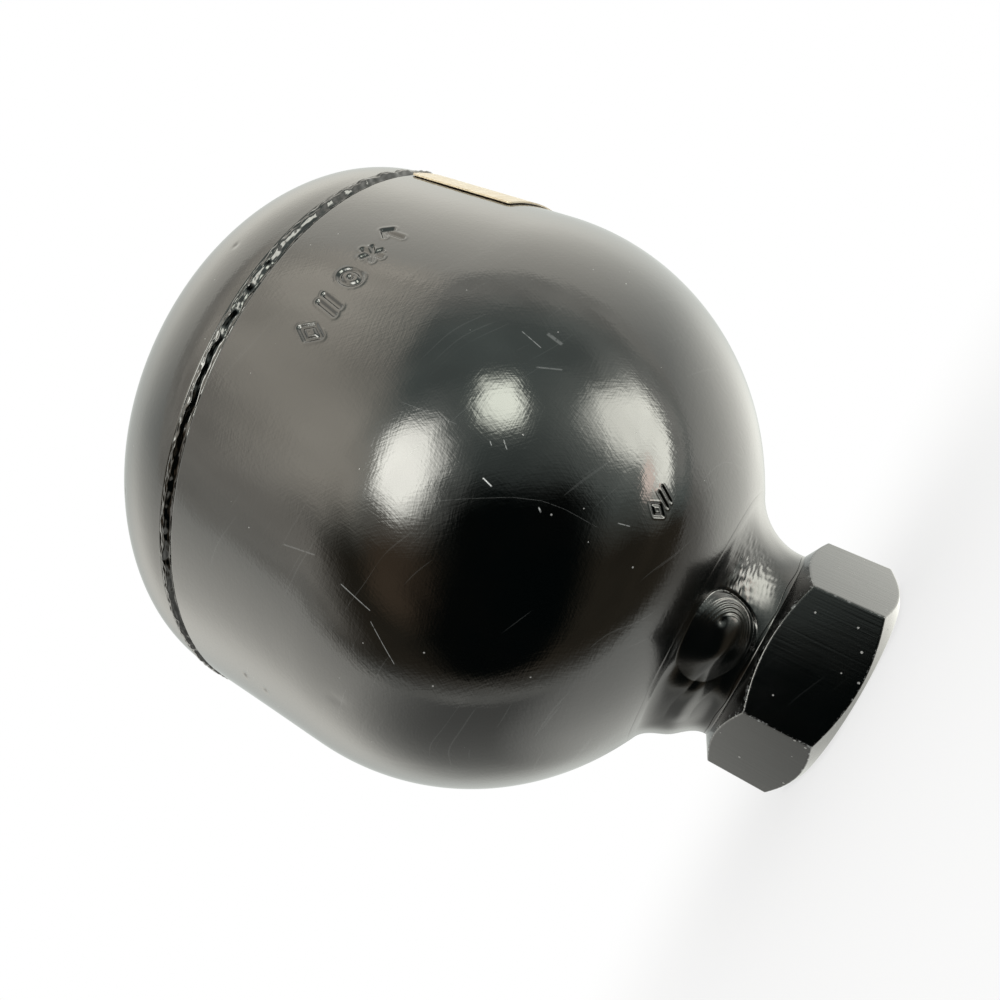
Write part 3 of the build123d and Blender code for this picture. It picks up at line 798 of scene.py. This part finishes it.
def enamel(name, peel=1.0, dull=0.0, scratches=1.0, milled=False, strokes=()):
    """Gloss black paint on steel: orange peel, swirls of fine scratches and dust. On a milled piece
    the edges are rubbed bare, the flats are brushed and there is more dust."""
    mat, n, shader, coords = material(name)
    bent = n.waver(coords, 45, 0.006)
    fine = n.noise(n.spot(bent, (2300, 45, 45), (0.1, 1.9, 0.2)), 1.0, 1.0)
    line = n.times(n.step(fine, 0.72, 0.75), 0.03 * scratches)
    if strokes:
        line = n.larger(line, drawn_strokes(n, coords, strokes))
    speck = n.larger(dust(n, coords, 230, 0.045, 0.22), dust(n, coords, 520, 0.07, 0.07))
    if milled:
        speck = n.larger(speck, dust(n, coords, 400, 0.10, 0.5))
    colour = n.mix(n.step(n.noise(coords, 60, 3), 0.35, 0.7), COOL_BLACK, WARM_BLACK)
    colour = n.mix(line, colour, SCRATCH_GREY)
    colour = n.mix(n.times(speck, 0.6), colour, DUST_GREY)
    if milled:
        edge = n.new("ShaderNodeAttribute", attribute_name="wear").outputs["Fac"]
        broken = n.step(n.noise(coords, 1100, 4, 0.7), 0.5, 0.70)
        colour = n.mix(n.times(n.step(edge, 0.45, 0.9), broken), colour, RUBBED_GREY)
    rough = n.step(n.noise(coords, 140, 3), 0.3, 0.75, 0.05 + dull, 0.09 + dull)
    rough = n.plus(rough, n.times(n.larger(speck, line), 0.35))
    rough = n.plus(rough, n.step(n.separate(coords)[2], DRY_FROM, DRY_FULL, 0.0, 0.13))
    skin = n.bump(n.noise(coords, 110, 1), PEEL_DEPTH * peel)
    # Swirls of fine wiping scratches at several angles scatter a lamp's edge
    swirl = 0.0
    for turn in ((0.3, 0.35, 0.2), (0.2, 1.45, 0.4), (-0.4, 2.45, 0.1)):
        swirl = n.plus(swirl, n.noise(n.spot(bent, (3000, 600, 600), turn), 1.0, 1))
    skin = n.bump(swirl, SWIRL_DEPTH * scratches, skin)
    if milled:
        flat = n.new("ShaderNodeAttribute", attribute_name="flat").outputs["Fac"]
        lay = n.noise(n.spot(coords, (2600, 2600, 70)), 1.0, 2)
        skin = n.bump(n.times(lay, flat), BRUSH_DEPTH, skin)
    set_surface(n, shader, colour, rough, skin)
    shader.inputs["IOR"].default_value = 1.6
    return mat


def machined(name, colour, rough):
    """Turned metal with fine rings."""
    mat, n, shader, coords = material(name)
    tint = n.mix(n.step(n.noise(coords, 90, 3), 0.3, 0.7), (*colour, 1), (*[c * 0.82 for c in colour], 1))
    rough = n.step(n.noise(coords, 400, 3), 0.3, 0.7, rough, rough + 0.12)
    rings = n.noise(n.spot(coords, (30, 30, 2600)), 1.0, 1)
    set_surface(n, shader, tint, rough, n.bump(rings, 0.000006), metallic=1.0)
    return mat


def rubber(name, level):
    """Matt black rubber with paler blooms."""
    mat, n, shader, coords = material(name)
    bloom = (level * 1.7, level * 1.6, level * 1.5, 1)
    tint = n.mix(n.noise(coords, 120, 4), (level, level, level, 1), bloom)
    rough = n.step(n.noise(coords, 300, 3), 0.3, 0.7, 0.55, 0.75)
    set_surface(n, shader, tint, rough, n.bump(n.noise(coords, 1500, 3), 0.00001))
    return mat


def tan_plate(name):
    """Satin tan sheet with a rolled grain and a few darker blotches."""
    mat, n, shader, coords = material(name)
    grain = n.noise(n.spot(coords, (90, 90, 4200)), 1.0, 2)
    tint = n.mix(n.step(grain, 0.3, 0.7), (0.62, 0.54, 0.39, 1), (0.52, 0.43, 0.29, 1))
    blotch = n.step(n.noise(coords, 130, 4), 0.55, 0.8)
    tint = n.mix(n.times(blotch, 0.25), tint, (0.45, 0.33, 0.19, 1))
    rough = n.step(grain, 0.3, 0.7, 0.32, 0.45)
    set_surface(n, shader, tint, rough, n.bump(grain, 0.000004), metallic=0.2)
    return mat


def glue(name):
    """Dark brown film."""
    mat, n, shader, coords = material(name)
    tint = n.mix(n.noise(coords, 500, 3), (0.09, 0.052, 0.022, 1), (0.045, 0.027, 0.013, 1))
    rough = n.step(n.noise(coords, 700, 2), 0.3, 0.7, 0.4, 0.6)
    set_surface(n, shader, tint, rough, n.bump(n.noise(coords, 1200, 2), 0.00001))
    return mat


def set_material(obj, mat):
    obj.data.materials.clear()
    obj.data.materials.append(mat)


# Light, floor and camera

# Camera fitted to the photograph's perspective, in metres
CAMERA_PLACE = (-0.00951, -0.14919, 0.02179)
CAMERA_RIGHT = (0.45654, 0.34706, -0.8192)
CAMERA_UP = (0.88659, -0.10081, 0.4514)
CAMERA_BACK = (0.07408, -0.93238, -0.35372)
SENSOR_WIDTH, LENS, SHIFT_X, SHIFT_Y = 36, 25.51, 0.06, 0.10


def camera_matrix():
    columns = (CAMERA_RIGHT, CAMERA_UP, CAMERA_BACK, CAMERA_PLACE)
    return Matrix([[axis[i] for axis in columns] for i in range(3)] + [[0, 0, 0, 1]])


def make_camera():
    data = bpy.data.cameras.new("camera")
    data.sensor_fit = "HORIZONTAL"
    data.sensor_width = SENSOR_WIDTH
    data.lens = LENS
    data.shift_x, data.shift_y = SHIFT_X, SHIFT_Y
    data.clip_start, data.clip_end = 0.005, 20
    camera = bpy.data.objects.new("camera", data)
    camera.matrix_world = camera_matrix()
    bpy.context.scene.collection.objects.link(camera)
    bpy.context.scene.camera = camera


def direction(azimuth, elevation):
    """Unit vector towards an azimuth from +X and an elevation, both in degrees."""
    a, e = math.radians(azimuth), math.radians(elevation)
    return (math.cos(e) * math.cos(a), math.cos(e) * math.sin(a), math.sin(e))


# Wide soft parts of the room: azimuth, elevation, inner and outer radius in degrees, colour
ROOM_COLOUR = (1.5, 1.52, 1.42, 1)
ROOM_PARTS = [
    (-20, 36, 10, 68, (2.45, 2.38, 2.15, 1)),
    (172, 28, 8, 52, (2.5, 2.45, 2.25, 1)),
    (92, 28, 12, 62, (0.70, 0.73, 0.70, 1)),
    (158, -30, 12, 48, (0.62, 0.62, 0.58, 1)),
    (55, -36, 5, 42, (2.3, 2.28, 2.1, 1)),
    (125, -52, 8, 36, (1.6, 1.6, 1.5, 1)),
    (35, -72, 5, 26, (0.75, 0.72, 0.65, 1)),
]


def make_world():
    """White to the camera, even light on matt surfaces, and a softly uneven room in reflections."""
    world = bpy.data.worlds.new("studio")
    bpy.context.scene.world = world
    world.use_nodes = True
    n = Nodes(world.node_tree)
    background = next(x for x in world.node_tree.nodes if x.type == "BACKGROUND")
    way = n.new("ShaderNodeTexCoord").outputs["Generated"]
    room = ROOM_COLOUR
    for azimuth, elevation, inner, outer, colour in ROOM_PARTS:
        near = n.dot(way, direction(azimuth, elevation))
        share = n.step(near, math.cos(math.radians(outer)), math.cos(math.radians(inner)))
        room = n.mix(share, room, colour)
    path = n.new("ShaderNodeLightPath")
    colour = n.mix(path.outputs["Is Glossy Ray"], (1.0, 1.0, 0.99, 1), room)
    colour = n.mix(path.outputs["Is Camera Ray"], colour, (1, 1, 1, 1))
    n.link(colour, background.inputs["Color"])
    background.inputs["Strength"].default_value = 1.0


def square(name, half):
    """Flat square round the origin with sides of twice the half, in metres."""
    mesh = bpy.data.meshes.new(name)
    corners = [(-half, -half, 0), (half, -half, 0), (half, half, 0), (-half, half, 0)]
    mesh.from_pydata(corners, [], [(0, 1, 2, 3)])
    obj = bpy.data.objects.new(name, mesh)
    bpy.context.scene.collection.objects.link(obj)
    return obj


# The three lamps as soft ovals on the wall, the third of them in three parts: middle to the right
# of and above the camera, half width and half height in mm, softness, lean in degrees, colour
LAMPS = [
    (-59, 35, 31, 39, 0.42, 24, (13.4, 13.3, 12.2, 1)),
    (22, 88, 17, 23, 0.5, 0, (12.2, 12.6, 11.0, 1)),
    (205, 99, 84, 44, 0.45, -12, (10.8, 10.8, 9.7, 1)),
    (300, 95, 95, 72, 0.5, 20, (10.0, 10.0, 9.0, 1)),
    (243, 40, 20, 25, 0.6, 0, (8.8, 7.3, 6.4, 1)),
]


def make_lamp_wall():
    """What stands on the photographer's side, seen only in reflections: three soft lamps, a pale
    wall to the left and the dark figure behind the camera. It fades out at its edges."""
    wall = square("lamp_wall", 1.2)
    wall.matrix_world = camera_matrix()
    for ray in ("camera", "diffuse", "shadow", "transmission", "volume_scatter"):
        setattr(wall, "visible_" + ray, False)
    mat = bpy.data.materials.new("lamp_wall")
    mat.use_nodes = True
    n = Nodes(mat.node_tree)
    n.tree.nodes.clear()
    place = n.new("ShaderNodeTexCoord").outputs["Object"]
    parts = n.separate(n.waver(n.waver(place, 22, 0.022), 90, 0.008))
    # The waver pushes by half its reach on average, 15 mm together, which comes off again
    u = n.minus(n.times(parts[0], MM_A_METRE), 15)
    v = n.minus(n.times(parts[1], MM_A_METRE), 15)

    def oval(x, y, half_x, half_y, soft, lean=0.0):
        """Soft oval, its upright axis leaning to the right by an angle in degrees."""
        c, s = math.cos(math.radians(lean)), math.sin(math.radians(lean))
        du, dv = n.minus(u, x), n.minus(v, y)
        a = n.minus(n.times(du, c / half_x), n.times(dv, s / half_x))
        b = n.plus(n.times(du, s / half_y), n.times(dv, c / half_y))
        return n.step(n.math("SQRT", n.plus(n.times(a, a), n.times(b, b))), 1 + soft, 1 - soft)

    def band(low, high, start, end):
        """Share that rises from low to high across the wall, times one that rises up the wall."""
        return n.times(n.step(u, low, high), n.step(v, start, end))

    figure = n.times(n.step(v, 34, -4), n.times(n.step(u, -45, 0), n.step(u, 150, 80)))
    figure = n.times(figure, n.step(v, -340, -220))
    # What covers what before it, from the ceiling down: share and colour
    covers = [
        (n.step(v, 170, 420), (1.62, 1.60, 1.46, 1)),
        (oval(470, 170, 260, 110, 0.6), (1.9, 1.9, 1.75, 1)),
        (band(-50, -150, -80, 40), (3.2, 3.0, 2.6, 1)),
        (n.step(u, -190, -400), (2.15, 2.1, 1.9, 1)),
        (n.step(v, 40, -60), (0.20, 0.16, 0.11, 1)),
        (band(-150, -330, -380, -90), (1.9, 1.8, 1.6, 1)),
        (n.step(v, -240, -620), (1.15, 1.15, 1.06, 1)),
        (n.step(u, -260, -520), (1.6, 1.55, 1.4, 1)),
        (oval(-72, -72, 46, 62, 0.6), (0.58, 0.41, 0.27, 1)),
        (figure, (0, 0, 0, 1)),
        (oval(35, -150, 100, 170, 0.4), (0, 0, 0, 1)),
    ]
    for x, y, half_x, half_y, soft, lean, shine in LAMPS:
        halo = oval(x, y, half_x * 1.25, half_y * 1.25, 0.75, lean)
        covers.append((n.times(halo, 0.14), shine))
    for *shape, shine in LAMPS:
        covers.append((oval(*shape), shine))
    colour = (0.80, 0.92, 0.86, 1)
    for share, paint in covers:
        colour = n.mix(share, colour, paint)
    glow = n.new("ShaderNodeEmission")
    n.link(colour, glow.inputs["Color"])
    n.link(n.step(n.noise(place, 9, 3), 0.25, 0.75, 0.82, 1.18), glow.inputs["Strength"])
    blend = n.new("ShaderNodeMixShader")
    n.link(n.step(n.vector("LENGTH", place).outputs["Value"], 0.62, 1.15), blend.inputs[0])
    n.link(glow.outputs[0], blend.inputs[1])
    n.link(n.new("ShaderNodeBsdfTransparent").outputs[0], blend.inputs[2])
    n.link(blend.outputs[0], n.new("ShaderNodeOutputMaterial").inputs["Surface"])
    set_material(wall, mat)


def make_floor():
    """Pale floor that keeps a soft shadow near the object and is white farther out."""
    floor = square("floor", 3.0)
    floor.visible_glossy = False
    mat, n, shader, coords = material("pale_floor")
    grain = n.noise(coords, 40, 3)
    n.link(n.mix(grain, (0.93, 0.93, 0.925, 1), (0.95, 0.95, 0.945, 1)), shader.inputs["Base Color"])
    shader.inputs["Roughness"].default_value = 0.9
    shader.inputs["Specular IOR Level"].default_value = 0.0
    blend = n.new("ShaderNodeMixShader")
    distance = n.vector("LENGTH", coords).outputs["Value"]
    n.link(n.step(distance, 0.03, 0.30, 0.72, 1.0), blend.inputs[0])
    n.link(shader.outputs[0], blend.inputs[1])
    n.link(n.new("ShaderNodeEmission").outputs[0], blend.inputs[2])
    out = next(x for x in mat.node_tree.nodes if x.type == "OUTPUT_MATERIAL")
    n.link(blend.outputs[0], out.inputs["Surface"])
    set_material(floor, mat)


# The object

def hex_marks(piece):
    """Marks the hexagon's rubbed edges and its milled flats in attributes of the mesh."""
    mesh = piece.data
    points = np.zeros(len(mesh.vertices) * 3, np.float32)
    mesh.vertices.foreach_get("co", points)
    x, y, z = points.reshape(-1, 3).T * MM_A_METRE
    theta = np.arctan2(y, x)
    big = hex_radius(theta)
    rise = chamfer_rise(big)
    corner = 30 - np.abs(np.degrees(theta) % 60 - 30)
    upright = np.exp(-(corner / 0.7) ** 2)
    rims = np.exp(-((z - rise) / 0.3) ** 2) + np.exp(-((z - HEX_H + rise) / 0.3) ** 2)
    outside = np.hypot(x, y) > big - 0.6
    wear = np.clip(np.maximum(upright, rims), 0, 1) * outside
    flat = outside * (z > rise + 0.2) * (z < HEX_H - rise - 0.2) * (corner > 0.8)
    for name, values in (("wear", wear), ("flat", flat)):
        mesh.attributes.new(name, "FLOAT", "POINT").data.foreach_set("value", values.astype(np.float32))


def make_finishes():
    """The material of each node."""
    paint = enamel("black_enamel", strokes=SCRATCHES)
    weld_paint = enamel("black_enamel_weld", peel=2.0, scratches=0.7)
    fitting_paint = enamel("black_enamel_fitting", peel=0.7, dull=-0.06, scratches=0.35, milled=True)
    return {
        "oil_shell": paint,
        "gas_shell": paint,
        "waist_weld": weld_paint,
        "port_weld": weld_paint,
        "gas_boss_weld": weld_paint,
        "port_fitting": fitting_paint,
        "gas_boss": fitting_paint,
        "clamping_ring": machined("oiled_steel", (0.42, 0.42, 0.41), 0.3),
        "charging_screw": machined("zinc_plated_steel", (0.66, 0.68, 0.70), 0.24),
        "valve_button": machined("turned_alloy", (0.76, 0.76, 0.77), 0.22),
        "diaphragm": rubber("nitrile_rubber", 0.018),
        "charging_screw_seal": rubber("seal_rubber", 0.022),
        "nameplate": tan_plate("tan_plate"),
        "nameplate_adhesive": glue("dark_adhesive"),
    }


# What makes a finer piece, the node it stands for, and the slot of its material
PIECES = [
    (oil_shell_skin, "oil_shell", "shell_enamel"),
    (gas_shell_skin, "gas_shell", "shell_enamel"),
    (waist_bead, "waist_weld", "weld_enamel"),
    (port_bead, "port_weld", "weld_enamel"),
    (boss_bead, "gas_boss_weld", "weld_enamel"),
    (port_fitting_turned, "port_fitting", "fitting_enamel"),
    (gas_boss_turned, "gas_boss", "fitting_enamel"),
    (diaphragm_bowl, "diaphragm", "nitrile"),
]


def dress():
    """Gives each node its material and puts the finer pieces in the place of their nodes."""
    finishes = make_finishes()
    for name, mat in finishes.items():
        set_material(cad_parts[name], mat)
    for make, node, slot in PIECES:
        piece = make()
        set_material(piece, finishes[node])
        if node == "port_fitting":
            hex_marks(piece)
        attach(piece, "vessel")
        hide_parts(node)
        if node == "diaphragm":
            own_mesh(piece)


make_camera()
make_world()
make_lamp_wall()
make_floor()
dress()

view = bpy.context.scene.view_settings
view.view_transform = "Standard"
